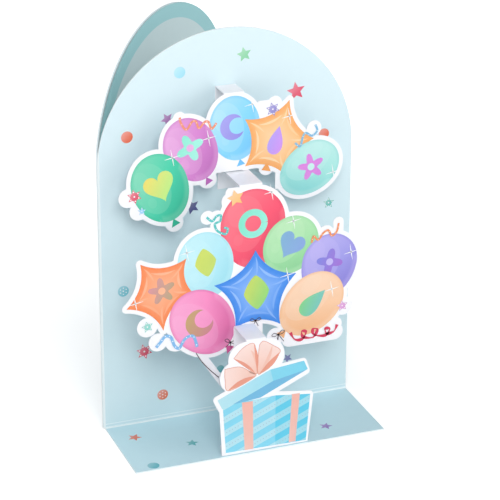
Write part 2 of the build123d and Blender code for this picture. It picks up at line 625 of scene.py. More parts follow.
def small_star(centre: Point, radius: float, arms: int, waist: float, lean: float) -> list[Point]:
    """Return a straight-sided star.

    Args:
        centre: Its middle.
        radius: The reach of its tips.
        arms: How many tips it has.
        waist: The reach of its inner corners, as a share of the radius.
        lean: The turn of its first tip from straight up, in degrees.

    Returns:
        The points, anticlockwise.
    """
    points = []
    for i in range(2 * arms):
        reach = radius if i % 2 == 0 else radius * waist
        x, z = turned((0.0, reach), lean + 180.0 * i / arms)
        points.append((centre[0] + x, centre[1] + z))
    return points


def smooth(points: Sequence[Point], steps: int = 8) -> list[Point]:
    """Return a smooth line through a few points, by the Catmull and Rom formula.

    Args:
        points: The points that it passes through.
        steps: How many points each stretch of it has.

    Returns:
        The points of the line.
    """
    padded = [points[0], *points, points[-1]]
    line = []
    for a, b, c, d in zip(padded, padded[1:], padded[2:], padded[3:]):
        for i in range(steps):
            t = i / steps
            place = []
            for k in (0, 1):
                slope = (c[k] - a[k]) * t
                curve = (2 * a[k] - 5 * b[k] + 4 * c[k] - d[k]) * t * t
                twist = (3 * b[k] - a[k] - 3 * c[k] + d[k]) * t**3
                place.append(0.5 * (2 * b[k] + slope + curve + twist))
            line.append(tuple(place))
    line.append(points[-1])
    return line


class Motif(Enum):
    """The plain figures that decorate the balloons."""

    HEART = "heart"
    RING = "ring"
    DIAMOND = "diamond"
    FLOWER = "flower"
    CLOVER = "clover"
    CRESCENT = "crescent"
    DROP = "drop"

    @property
    def petals(self) -> int:
        """Return how many petals the figure has."""
        return {Motif.FLOWER: 5, Motif.CLOVER: 4}.get(self, 0)

    def reach(self, turn: float) -> Point:
        """Return the figure's outline at a turn, in a square of half side 1.

        Args:
            turn: How far round the outline the point is, in radians from the top.

        Returns:
            The point. The outline is seen whole from the origin.
        """
        sine, cosine = math.sin(turn), math.cos(turn)
        if self is Motif.HEART:
            lobes = 13 * cosine - 5 * math.cos(2 * turn) - 2 * math.cos(3 * turn) - math.cos(4 * turn)
            return -0.98 * sine**3, lobes / 15
        if self is Motif.DIAMOND:
            across = math.copysign(abs(cosine) ** 1.5, cosine)
            return 0.72 * across, math.copysign(abs(sine) ** 1.5, sine)
        if self is Motif.DROP:
            return -0.72 * sine * math.sin(turn / 2) ** 1.2, cosine
        petal = 0.72 + 0.28 * math.cos(self.petals * turn)
        return petal * -sine, petal * cosine


@dataclass(frozen=True)
class Palette:
    """The colours of one balloon.

    Attributes:
        main: The colour of its middle.
        light: The colour of its lit side and highlights.
        dark: The colour of its shaded side.
        motif: The colour at the start of its figure.
        motif_end: The colour that the figure fades to.
    """

    main: Colour
    light: Colour
    dark: Colour
    motif: Colour
    motif_end: Colour


def palette(main: str, light: str, dark: str, motif: str, motif_end: str) -> Palette:
    """Return a palette from five colour codes."""
    return Palette(*(srgb(code) for code in (main, light, dark, motif, motif_end)))


@dataclass(frozen=True)
class Figure:
    """A figure on a balloon, whose colour fades from one corner to the other.

    Attributes:
        motif: Which figure it is.
        centre: Its middle.
        size: Its half height, in millimetres.
        lean: Its lean, in degrees.
        colours: The palette that holds its two colours.
    """

    motif: Motif
    centre: Point
    size: float
    lean: float
    colours: Palette

    def place(self, point: Point) -> Point:
        """Return where a point of the figure's own square lies on the sheet."""
        x, z = turned((point[0] * self.size, point[1] * self.size), self.lean)
        return self.centre[0] + x, self.centre[1] + z

    def shade(self, point: Point) -> Colour:
        """Return the figure's colour at a point.

        Args:
            point: The point, in millimetres.

        Returns:
            The colour.
        """
        run = point[0] - self.centre[0] - 0.4 * (point[1] - self.centre[1])
        share = 0.5 + run / (2.2 * self.size)
        return blend_colours(self.colours.motif, self.colours.motif_end, share)

    def bent(self, sheet: InkSheet, start: float, stop: float, width: Width) -> None:
        """Print a band that is bent round the figure's middle.

        Args:
            sheet: The sheet that it is printed on.
            start: Where it starts, in degrees.
            stop: Where it ends.
            width: Its width along its length.
        """
        steps = 40
        turns = [start + (stop - start) * i / steps for i in range(steps + 1)]
        sheet.ribbon([self.place(turned((0.68, 0.0), turn)) for turn in turns], width, self.shade)

    def print_on(self, sheet: InkSheet) -> None:
        """Print the figure.

        Args:
            sheet: The sheet that it is printed on.
        """
        if self.motif is Motif.RING:
            self.bent(sheet, 0, 360, swelling(self.size * 0.4, 0.0))
            return
        if self.motif is Motif.CRESCENT:
            self.bent(sheet, 40, 320, swelling(0.0, self.size * 0.62))
            return
        steps = 40
        outline = [self.place(self.motif.reach(2 * math.pi * i / steps)) for i in range(steps)]
        sheet.patch(outline, self.centre, self.shade, rings=4)
        if self.motif.petals:
            sheet.next_layer()
            sheet.dot(self.centre, self.size * 0.26, self.colours.light, 24)


class Highlight(NamedTuple):
    """A lighter oval on a balloon, measured in the balloon's own half widths and heights."""

    x: float
    z: float
    wide: float
    tall: float
    strength: float


HIGHLIGHTS = (
    Highlight(-0.26, 0.02, 0.62, 0.82, 0.28),
    Highlight(-0.52, 0.32, 0.26, 0.36, 0.5),
    Highlight(-0.45, -0.33, 0.15, 0.17, 0.42),
)
KNOT_CORNERS = ((0.0, -0.97), (-0.17, -1.18), (0.17, -1.16))


@dataclass(frozen=True)
class Balloon:
    """A printed balloon.

    Attributes:
        x: Its widest point, across the card in millimetres.
        z: The same, above the base card.
        half_width: Half its width.
        crown: Its height above the widest point.
        root: Its height below the widest point.
        lean: How far it leans, in degrees anticlockwise.
        colours: Its palette.
        motif: The figure on it.
        motif_size: The figure's half height.
        knot: Whether its knot shows.
    """

    x: float
    z: float
    half_width: float
    crown: float
    root: float
    lean: float
    colours: Palette
    motif: Motif
    motif_size: float
    knot: bool = True

    def local(self, x: float, z: float) -> Point:
        """Return the place on the sheet of a place on the balloon.

        Args:
            x: How far across the place is, in the balloon's half widths.
            z: How far along, in its heights above or below its widest point.

        Returns:
            The place, in millimetres.
        """
        tall = self.crown if z > 0 else self.root
        turned_x, turned_z = turned((x * self.half_width, z * tall), self.lean)
        return self.x + turned_x, self.z + turned_z

    def shade(self, point: Point) -> Colour:
        """Return the wash of colour at a point: lit from the upper left, dark near its rim.

        Args:
            point: The point, in millimetres.

        Returns:
            The colour.
        """
        x, z = turned((point[0] - self.x, point[1] - self.z), -self.lean)
        x, z = x / self.half_width, z / (self.crown if z > 0 else self.root)
        lit = -0.55 * x + 0.6 * z + 0.1
        if lit > 0:
            wash = blend_colours(self.colours.main, self.colours.light, lit * 0.7)
        else:
            wash = blend_colours(self.colours.main, self.colours.dark, -lit * 1.25)
        rim = math.hypot(x, z)
        if rim > 0.86 and lit < -0.2:
            return blend_colours(wash, self.colours.light, 0.3)
        return blend_colours(wash, self.colours.dark, (rim - 0.9) * 4.0)

    def lit(self, strength: float) -> Shade:
        """Return the balloon's own wash, drawn some way to its light colour."""
        return lambda point: blend_colours(self.shade(point), self.colours.light, strength)

    def print_on(self, sheet: InkSheet) -> None:
        """Print the balloon, its knot, its highlights and its figure.

        Args:
            sheet: The sheet that it is printed on.
        """
        middle = (self.x, self.z)
        if self.knot:
            knot = [self.local(x, z) for x, z in KNOT_CORNERS]
            sheet.patch(knot, middle_of(knot), plain(self.colours.dark))
        sheet.next_layer()
        outline = ellipse(middle, self.half_width, self.crown, self.lean, 72, self.root)
        sheet.patch(outline, middle, self.shade, rings=10)
        sheet.next_layer(2)
        for x, z, wide, tall, strength in HIGHLIGHTS:
            centre = self.local(x, z)
            oval = ellipse(centre, wide * self.half_width, tall * self.crown, self.lean, 40)
            sheet.patch(oval, centre, self.lit(strength), rings=4)
            sheet.next_layer()
        Figure(self.motif, middle, self.motif_size, self.lean, self.colours).print_on(sheet)


@dataclass(frozen=True)
class FoilStar:
    """A printed five-pointed foil balloon.

    Attributes:
        tips: Its tips, anticlockwise.
        hollow: How far its sides bow in, as a share of their length.
        colours: Its palette.
        motif: The figure on it.
        motif_size: The figure's half height.
        lean: The figure's lean.
        rim: How far in its shading reaches, in millimetres.
        rim_share: How much of that is dark.
    """

    tips: tuple[Point, ...]
    hollow: float
    colours: Palette
    motif: Motif
    motif_size: float
    lean: float
    rim: float = 7.0
    rim_share: float = 0.45

    def shade(self, point: Point) -> Colour:
        """Return the foil's colour at a point: light within and dark along its rim.

        Args:
            point: The point, in millimetres.

        Returns:
            The colour.
        """
        outline = star_points(self.tips, self.hollow, 8)
        depth = min(math.dist(point, edge) for edge in outline) / self.rim
        if depth < self.rim_share:
            share = depth / self.rim_share * 0.6
            return blend_colours(self.colours.dark, self.colours.main, share)
        return blend_colours(self.colours.main, self.colours.light, (depth - self.rim_share) * 0.7)

    def shine(self, strength: float) -> Shade:
        """Return the colour of a highlight of some strength."""
        return plain(blend_colours(self.colours.main, self.colours.light, strength))

    def print_on(self, sheet: InkSheet) -> None:
        """Print the star with its darker rim, creases, highlights and figure.

        Args:
            sheet: The sheet that it is printed on.
        """
        centre = middle_of(self.tips)
        sheet.next_layer()
        sheet.patch(star_points(self.tips, self.hollow), centre, self.shade, rings=12)
        sheet.next_layer()
        for tip in self.tips:
            start, end = between(tip, centre, 0.16), between(tip, centre, 0.62)
            crease = [*bowed_side(start, end, 0.06, 8), end]
            sheet.ribbon(crease, swelling(0.1, 0.9), self.shine(0.7))
        sheet.next_layer()
        for i, tip in enumerate(self.tips):
            side = bowed_side(self.tips[i - 1], tip, self.hollow, 14)[2:-1]
            band = [between(centre, point, 0.74) for point in side]
            sheet.ribbon(band, swelling(0.1, 1.2), self.shine(0.9 if i < 3 else 0.45))
        sheet.next_layer()
        Figure(self.motif, centre, self.motif_size, self.lean, self.colours).print_on(sheet)


@dataclass(frozen=True)
class Sprinkle:
    """A small printed star or dot of confetti.

    Attributes:
        x: Its middle, in millimetres.
        z: The same, along the face.
        radius: Its reach.
        arms: How many tips it has, or 0 for a dot.
        waist: The reach of its inner corners, as a share of its radius.
        lean: Its turn, in degrees.
        colour: Its colour code.
        spotted: Whether it has white spots.
    """

    x: float
    z: float
    radius: float
    arms: int
    waist: float
    lean: float
    colour: str
    spotted: bool = False

    def shade(self, point: Point) -> Colour:
        """Return the wash at a point, palest at the upper left.

        Args:
            point: The point, in millimetres.

        Returns:
            The colour.
        """
        wash = srgb(self.colour)
        share = 0.5 + (point[0] - point[1] - self.x + self.z) / (2 * self.radius)
        return blend_colours(blend_colours(wash, WHITE, 0.22), wash, share)

    def print_on(self, sheet: InkSheet) -> None:
        """Print the piece of confetti.

        Args:
            sheet: The sheet that it is printed on.
        """
        centre = (self.x, self.z)
        if self.arms:
            outline = small_star(centre, self.radius, self.arms, self.waist, self.lean)
        else:
            outline = circle(centre, self.radius, 32)
        sheet.next_layer()
        sheet.patch(outline, centre, self.shade)
        if not self.spotted:
            return
        sheet.next_layer()
        sheet.dot(centre, self.radius * 0.12, SPOT, 10)
        count, ring = (self.arms, 0.62) if self.arms else (6, 0.58)
        for i in range(count):
            x, z = turned((0.0, self.radius * ring), self.lean + 360.0 * i / count)
            sheet.dot((self.x + x, self.z + z), self.radius * 0.1, SPOT, 10)


@dataclass(frozen=True)
class Sparkle:
    """A white four-pointed sparkle.

    Attributes:
        x: Its middle, in millimetres.
        z: The same, along the face.
        reach: The length of its longer arms.
        narrower: The length of its other arms, as a share of the reach.
        lean: Its turn, in degrees.
    """

    x: float
    z: float
    reach: float = 4.2
    narrower: float = 0.92
    lean: float = 10.0

    def width_at(self, share: float) -> float:
        """Return an arm pair's width at a share of its length, widest in the middle."""
        return 0.12 + 0.46 * (1 - abs(2 * share - 1))

    def print_on(self, sheet: InkSheet) -> None:
        """Print the sparkle.

        Args:
            sheet: The sheet that it is printed on.
        """
        sheet.next_layer()
        for turn, length in ((0.0, self.reach), (90.0, self.reach * self.narrower)):
            x, z = turned((0.0, length), self.lean + turn)
            line = [(self.x - x, self.z - z), (self.x, self.z), (self.x + x, self.z + z)]
            sheet.ribbon(line, self.width_at, plain(WHITE))


@dataclass(frozen=True)
class CurledRibbon:
    """A curled ribbon or string, with a row of dots where it has one.

    Attributes:
        width: Its width, in millimetres.
        colour: Its colour code.
        path: A few points along it.
        dots: The dots' colour code, or nothing.
        turns: How often the ribbon turns its edge to the front.
    """

    width: float
    colour: str
    path: tuple[Point, ...]
    dots: str = ""
    turns: int = 0

    def width_at(self, share: float) -> float:
        """Return the width that shows at a share of the length."""
        return self.width * (1 - 0.65 * math.sin(math.pi * self.turns * share) ** 2)

    def print_on(self, sheet: InkSheet) -> None:
        """Print the ribbon.

        Args:
            sheet: The sheet that it is printed on.
        """
        line = smooth(self.path)
        sheet.next_layer()
        sheet.ribbon(line, self.width_at, plain(srgb(self.colour)))
        if self.dots:
            sheet.next_layer()
            for point in line[4::6]:
                sheet.dot(point, self.width * 0.2, srgb(self.dots), 8)


@dataclass(frozen=True)
class StringBow:
    """A little bow of black string at a knot.

    Attributes:
        x: The knot's place, in millimetres.
        z: The same, along the face.
        size: The length of its loops.
        lean: Its turn, in degrees.
        tail: The length of its tails.
        string: The width of the string.
    """

    x: float
    z: float
    size: float
    lean: float
    tail: float
    string: float = 0.32

    def line(self, side: int, points: Sequence[Point]) -> list[Point]:
        """Return a smooth line from the knot.

        Args:
            side: The side that it lies on, -1 or 1.
            points: Its other points, measured outwards and up from the knot.

        Returns:
            The points of the line.
        """
        bent = [turned((side * x, z), self.lean) for x, z in ((0.0, 0.0), *points)]
        return smooth([(self.x + x, self.z + z) for x, z in bent], 5)

    def print_on(self, sheet: InkSheet) -> None:
        """Print the bow.

        Args:
            sheet: The sheet that it is printed on.
        """
        size, tail = self.size, self.tail
        loop = ((size * 0.6, size * 0.45), (size, size * 0.2), (size * 0.6, -size * 0.05), (0.0, 0.0))
        end = ((size * 0.25, -tail * 0.5), (size * 0.5, -tail))
        sheet.next_layer()
        for side in (-1, 1):
            for points in (loop, end):
                sheet.ribbon(self.line(side, points), swelling(self.string, 0.0), plain(STRING))
        sheet.dot((self.x, self.z), 0.6, STRING, 10)


@dataclass(frozen=True)
class Knot:
    """The knot of a foil balloon.

    Attributes:
        corners: Its corners, anticlockwise.
        colour: Its colour code.
    """

    corners: tuple[Point, ...]
    colour: str

    def print_on(self, sheet: InkSheet) -> None:
        """Print the knot over what is there."""
        sheet.next_layer()
        sheet.patch(self.corners, middle_of(self.corners), plain(srgb(self.colour)))


class Print(Protocol):
    """Anything that can be printed on a sheet."""

    def print_on(self, sheet: InkSheet) -> None:
        """Print it on a sheet."""


def dress_node(name: str, finish: bpy.types.Material) -> None:
    """Give a CAD node its finish.

    Args:
        name: The node's name.
        finish: Its material.
    """
    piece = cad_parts[name]
    piece.data.materials.clear()
    piece.data.materials.append(finish)
    LOG.info("%s: dressed", name)


def upright(face: float, base_top: float) -> Plane:
    """Return an upright face that looks to the front, measured from the base card."""
    return Plane(Vector((0, face, base_top)), ACROSS, UP)


@dataclass(frozen=True)
class PrintedLayer:
    """A die-cut paper layer with print on its front face.

    Attributes:
        node: The CAD node that is its sheet of paper.
        piece: The name of its print.
        slot: The record's material slot of the print.
        prints: What is printed on it, each over the ones before.
    """

    node: str
    piece: str
    slot: str
    prints: tuple[Print, ...]

    def build(self, paper: bpy.types.Material, ink: bpy.types.Material, base_top: float) -> None:
        """Dress the paper and print its face.

        Args:
            paper: The paper's material.
            ink: The print's material.
            base_top: The top of the base flap, in metres.
        """
        dress_node(self.node, paper)
        low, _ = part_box(self.node)
        sheet = InkSheet(self.piece, upright(low.y, base_top), self.slot)
        for item in self.prints:
            item.print_on(sheet)
        sheet.build(ink)


PANEL_CONFETTI = (
    Sprinkle(8.6, 185.2, 3.8, 5, 0.48, 10, "86d09f"),
    Sprinkle(-23.6, 179.8, 2.8, 0, 1, 0, "a4e2f2"),
    Sprinkle(-50.0, 151.0, 2.9, 0, 1, 0, "ee6a45"),
    Sprinkle(50.2, 140.3, 2.7, 0, 1, 0, "ee6a45"),
    Sprinkle(35.3, 163.8, 4.9, 5, 0.46, 8, "e63e62"),
    Sprinkle(-30.0, 157.5, 3.4, 5, 0.46, 30, "a967ad"),
    Sprinkle(-18.0, 111.5, 4.0, 5, 0.48, 20, "343a80"),
    Sprinkle(53.4, 103.8, 3.1, 5, 0.46, 0, "5bbdb1", True),
    Sprinkle(-53.3, 72.6, 2.8, 0, 1, 0, "74c2d0", True),
    Sprinkle(-43.2, 38.7, 4.2, 6, 0.52, 14, "e2395c", True),
    Sprinkle(-34.0, 13.5, 2.8, 0, 1, 0, "e0714f", True),
    Sprinkle(32.5, 22.3, 2.8, 5, 0.42, 30, "7476b4"),
    Sprinkle(-3.5, 22.5, 2.0, 0, 1, 0, "5bb0b6"),
)
BASE_CONFETTI = (
    Sprinkle(-53.4, -13.8, 3.6, 5, 0.45, -36, "df6a4a"),
    Sprinkle(-28.9, -29.0, 3.4, 5, 0.45, -20, "4fb0b4"),
    Sprinkle(-53.8, -44.1, 2.9, 0, 1, 0, "5db4c0"),
    Sprinkle(39.0, -35.5, 3.4, 5, 0.45, -30, "9472bd"),
)


@dataclass(frozen=True)
class FoldedCard:
    """The folded card: its stock and the print on its back panel, base flap and cover.

    Attributes:
        width: The leaf's width, in millimetres.
        height: The leaf's height.
        base_depth: The base flap's depth.
        cover_angle: The angle between the leaves, in degrees.
        fold: The outer radius of the folds.
        inner_fold: Their inner radius.
        margin: The width of the border round the cover's inner field.
        edge: How far print stays inside the cut edges.
        scores: The heights of the lines pressed along the foot fold, above it.
        score_width: The width of those lines.
    """

    width: float = 130.0
    height: float = 200.0
    base_depth: float = 48.0
    cover_angle: float = 41.5
    fold: float = 1.2
    inner_fold: float = 0.4
    margin: float = 7.5
    edge: float = 0.15
    scores: tuple[float, ...] = (0.3, 1.9)
    score_width: float = 0.4

    def build(
        self,
        stock: bpy.types.Material,
        ink: bpy.types.Material,
        panel_face: float,
        base_top: float,
    ) -> None:
        """Dress the card and print its faces.

        Args:
            stock: The card's material.
            ink: The print's material.
            panel_face: The place of the back panel's face, in metres.
            base_top: The top of the base flap, in metres.
        """
        dress_node("folded_card", stock)
        self.print_panel(upright(panel_face, base_top), base_top / MM).build(ink)
        flap = Plane(Vector((0, panel_face, base_top)), ACROSS, BACK)
        self.print_base(flap).build(ink)
        self.print_cover(self.cover_plane(panel_face), base_top / MM).build(ink)

    def cover_plane(self, panel_face: float) -> Plane:
        """Return the inner face of the cover, measured from the spine and the floor.

        Args:
            panel_face: The place of the back panel's face, in metres.

        Returns:
            The face.
        """
        angle = math.radians(self.cover_angle)
        away = Vector((math.cos(angle), math.sin(angle), 0))
        facing = Vector((math.sin(angle), -math.cos(angle), 0))
        bend = Vector((-self.width / 2 + self.fold, 0, 0)) * MM
        bend.y = panel_face + self.fold * MM
        return Plane(bend + facing * self.inner_fold * MM, away, UP)

    def arch(
        self, middle: float, spring: float, left: float, foot: float, inset: float
    ) -> list[Point]:
        """Return the outline of a leaf's arched print.

        Args:
            middle: The middle of the arch, across the leaf.
            spring: The height where the arch starts.
            left: The print's straight left side.
            foot: Its lower edge.
            inset: How far it stays inside the leaf's cut edge.

        Returns:
            The points, anticlockwise.
        """
        radius = self.width / 2 - inset
        stop = math.acos(max(-1.0, (left - middle) / radius))
        points = [(left, foot), (middle + radius, foot)]
        for i in range(ARCH_STEPS + 1):
            angle = stop * i / ARCH_STEPS
            points.append((middle + radius * math.cos(angle), spring + radius * math.sin(angle)))
        return points

    def print_panel(self, plane: Plane, base_top: float) -> InkSheet:
        """Print the back panel's wash, its confetti and the lines along its foot.

        Args:
            plane: The back panel's face.
            base_top: The top of the base flap, in millimetres.

        Returns:
            The sheet of print.
        """
        half = self.width / 2
        left, foot = -half + self.fold, self.inner_fold
        sheet = InkSheet("panel_print", plane, "card_stock")
        outline = self.arch(0.0, self.height - half - base_top, left, foot, self.edge)
        # The panel's wash is darker towards the foot and paler towards the top.
        wash = fading(srgb("d0e6eb"), srgb("dceef3"), 1, 0.0, self.height / 1.1)
        sheet.patch(outline, (0.0, self.height / 2), wash, rings=8)
        for sprinkle in PANEL_CONFETTI:
            sprinkle.print_on(sheet)
        sheet.next_layer()
        score = plain(srgb("ecf7f9"))
        for above in self.scores:
            line = [(left, foot + above), (half, foot + above)]
            sheet.ribbon(line, swelling(self.score_width, 0.0), score)
        return sheet

    def print_base(self, plane: Plane) -> InkSheet:
        """Print the base flap's wash and its confetti.

        Args:
            plane: The base flap's upper face.

        Returns:
            The sheet of print.
        """
        left, right = -self.width / 2 + self.fold, self.width / 2 - self.edge
        front, back = -self.base_depth + self.edge, -self.inner_fold
        sheet = InkSheet("base_print", plane, "card_stock")
        outline = [(left + self.edge, front), (right, front), (right, back), (left, back)]
        sheet.patch(outline, middle_of(outline), plain(srgb("c8e6ee")), rings=2)
        for sprinkle in BASE_CONFETTI:
            sprinkle.print_on(sheet)
        return sheet

    def print_cover(self, plane: Plane, base_top: float) -> InkSheet:
        """Print the cover's border and its arched field.

        Args:
            plane: The cover's inner face.
            base_top: The top of the base flap, in millimetres.

        Returns:
            The sheet of print.
        """
        half, foot = self.width / 2, base_top + self.inner_fold
        centre, spring, middle = half - self.fold, self.height - half, (half, self.height / 2)
        sheet = InkSheet("cover_print", plane, "card_stock")
        outer = self.arch(centre, spring, 0.0, foot, self.edge)
        border = fading(srgb("6fa6a8"), srgb("9fcfd2"), 1, 0.0, self.height)
        sheet.patch(outer, middle, border, rings=6)
        sheet.next_layer()
        inner = self.arch(centre, spring, self.margin - self.fold, foot + self.margin, self.margin)
        wash = fading(srgb("b4cccd"), srgb("c9dadb"), 1, 0.0, self.height)
        sheet.patch(inner, middle, wash, rings=4)
        return sheet


def clipped(face: Sequence[Point], slope: float, level: float, above: bool) -> list[Point]:
    """Cut a convex face along a slanted line.

    Args:
        face: The face's corners, in order.
        slope: The line's slope.
        level: The line's height at the origin.
        above: Whether the part above the line is kept.

    Returns:
        The corners of what is left.
    """
    sign = 1.0 if above else -1.0
    kept: list[Point] = []
    for i, point in enumerate(face):
        before = face[i - 1]
        here = sign * (point[1] - slope * point[0] - level)
        there = sign * (before[1] - slope * before[0] - level)
        if here * there < 0:
            share = there / (there - here)
            kept.append(between(before, point, share))
        if here >= 0:
            kept.append(point)
    return kept


def inside(point: Point, face: Sequence[Point], clear: float = 0.3) -> bool:
    """Say whether a point is inside a convex face.

    Args:
        point: The point.
        face: The face's corners, anticlockwise.
        clear: How clear of each side it is, times the side's length.

    Returns:
        Whether it is inside.
    """
    return all(
        (b[0] - a[0]) * (point[1] - a[1]) - (b[1] - a[1]) * (point[0] - a[0]) > clear
        for a, b in zip(face, [*face[1:], face[0]])
    )


@dataclass(frozen=True)
class BoxWithBow:
    """The gift box that is printed on its layer, in millimetres from the base flap.

    Attributes:
        left: The corners of its left face, anticlockwise.
        right: The corners of its right face.
        lid_left: The corners of the left face of its lid's rim.
        lid_right: The corners of the right face of its lid's rim.
        underside: The corners of its lid's shaded underside.
        ribbons: The corners of the ribbons on its faces.
        ribbon_height: The height at which the ribbons reach their second colour.
        bow_root: Where the loops of the bow meet.
        bow_reach: How far from there the loops get their light colour.
        loops: A few points round each loop. Its fold starts between the last three.
        hollows: The ends and the width of each shaded hollow between the loops.
        stripe_foot: The height of the lowest stripe at the middle of the box.
        stripe_pitch: The height from one stripe to the next.
        stripe_width: The height of a stripe.
        stripe_slope: How far a stripe rises for each millimetre across.
        dot_start: The first place across for the dots on the stripes.
        dot_pitch: The distance across from one dot to the next.
        dot_radius: The radius of a dot.
    """

    left: tuple[Point, ...] = ((-18.2, 1.7), (7.3, 1.4), (7.3, 28.3), (-19.8, 27.5))
    right: tuple[Point, ...] = ((7.3, 1.4), (23.4, 1.2), (25.3, 26.0), (7.3, 28.3))
    lid_left: tuple[Point, ...] = (
        (-22.4, 30.8), (-20.0, 25.6), (-14.6, 27.3), (6.0, 36.3), (4.5, 42.6)
    )
    lid_right: tuple[Point, ...] = ((4.5, 42.6), (6.0, 36.3), (23.8, 39.6), (21.8, 44.4))
    underside: tuple[Point, ...] = ((-14.6, 27.3), (-0.5, 28.5), (23.8, 39.6), (6.0, 36.3))
    ribbons: tuple[tuple[Point, ...], ...] = (
        ((-8.5, 1.5), (-4.0, 1.5), (-4.4, 27.3), (-10.0, 27.5)),
        ((14.4, 1.5), (17.9, 1.5), (19.9, 27.3), (15.8, 27.5)),
    )
    ribbon_height: float = 30.0
    bow_root: Point = (-2.0, 41.2)
    bow_reach: float = 17.0
    loops: tuple[tuple[Point, ...], ...] = (
        ((-18.7, 46.6), (-18.6, 41.0), (-16.7, 34.9), (-3.4, 40.2), (-5.6, 42.8), (-11.0, 46.6)),
        ((-14.2, 51.5), (-8.0, 45.8), (-2.4, 41.6), (-2.9, 49.0), (-3.9, 57.6), (-9.4, 56.4)),
        ((-1.2, 56.6), (-1.9, 49.0), (-1.5, 41.0), (4.4, 46.4), (9.5, 51.5), (5.4, 55.4),
         (0.9, 58.2)),
    )
    hollows: tuple[tuple[Point, Point, float], ...] = (
        ((-16.9, 35.2), (-3.0, 40.4), 2.6),
        ((-13.8, 51.2), (-3.4, 42.2), 1.3),
        ((-3.9, 57.2), (-2.4, 42.6), 1.4),
        ((9.2, 51.0), (-1.2, 41.2), 2.7),
    )
    stripe_foot: float = 3.75
    stripe_pitch: float = 7.4
    stripe_width: float = 3.7
    stripe_slope: float = 0.43
    dot_start: float = -20.6
    dot_pitch: float = 1.45
    dot_radius: float = 0.24

    def print_on(self, sheet: InkSheet) -> None:
        """Print the box, its stripes, ribbons, lid and bow.

        Args:
            sheet: The sheet that it is printed on.
        """
        for face, wash in ((self.left, "86d6ec"), (self.right, "5fcbe6")):
            sheet.patch(face, middle_of(face), plain(srgb(wash)))
        sheet.next_layer()
        self.stripes(sheet, self.left, srgb("b7e2ec"))
        self.stripes(sheet, self.right, srgb("a2dbe8"))
        sheet.next_layer(2)
        wash = fading(srgb("f4c3b6"), srgb("f6b5a6"), 1, 0.0, self.ribbon_height)
        for ribbon in self.ribbons:
            sheet.patch(ribbon, middle_of(ribbon), wash, 3)
        sheet.next_layer()
        self.fan(sheet, self.lid_left, srgb("b9e4ec"), srgb("9fdcec"))
        self.fan(sheet, self.lid_right, srgb("84d5ea"), srgb("7bd2ea"))
        sheet.next_layer()
        sheet.patch(self.underside, middle_of(self.underside), plain(srgb("72b8dc")))
        self.bow(sheet)

    def fan(self, sheet: InkSheet, face: Sequence[Point], left: Colour, right: Colour) -> None:
        """Print a face whose colour changes from left to right.

        Args:
            sheet: The sheet that it is printed on.
            face: The face's corners.
            left: Its colour at the left.
            right: Its colour at the right.
        """
        low, high = min(p[0] for p in face), max(p[0] for p in face)
        sheet.patch(face, middle_of(face), fading(left, right, 0, low, high), 3)

    def stripes(self, sheet: InkSheet, face: Sequence[Point], wash: Colour) -> None:
        """Print the slanted stripes of one face, cut to its edges, and the dots along them.

        Args:
            sheet: The sheet that they are printed on.
            face: The face's corners.
            wash: The stripes' colour.
        """
        feet = [self.stripe_foot + i * self.stripe_pitch for i in range(-3, 6)]
        for low in feet:
            band = clipped(face, self.stripe_slope, low, True)
            band = clipped(band, self.stripe_slope, low + self.stripe_width, False)
            if len(band) > 2:
                sheet.patch(band, middle_of(band), plain(wash))
        sheet.next_layer()
        for low in feet:
            for i in range(32):
                x = self.dot_start + self.dot_pitch * i
                z = low + self.stripe_width / 2 + self.stripe_slope * x
                if inside((x, z), face):
                    sheet.dot((x, z), self.dot_radius, srgb("a9b6c8"), 8)

    def loop_wash(self, point: Point) -> Colour:
        """Return a loop's colour at a point: warm at the bow's root and light further out."""
        share = math.dist(point, self.bow_root) / self.bow_reach
        return blend_colours(BOW_WARM, BOW_LIGHT, share)

    def bow(self, sheet: InkSheet) -> None:
        """Print the loops of the bow, their folds and the hollows between them.

        Args:
            sheet: The sheet that it is printed on.
        """
        for loop in self.loops:
            sheet.next_layer()
            outline = smooth([*loop, loop[0]], 6)[:-1]
            sheet.patch(outline, middle_of(loop), self.loop_wash, rings=4)
            sheet.next_layer()
            sheet.ribbon([*outline, outline[0]], swelling(0.3, 0.0), plain(BOW_RIM))
            fold = bowed_side(middle_of(loop[-3:]), self.bow_root, 0.08, 8)
            sheet.ribbon(fold, swelling(0.2, 1.6), plain(BOW_WARM))
        sheet.next_layer()
        for start, end, wide in self.hollows:
            line = [*bowed_side(start, end, 0.04, 8), end]
            sheet.ribbon(line, swelling(0.15, wide), plain(BOW_SHADE))


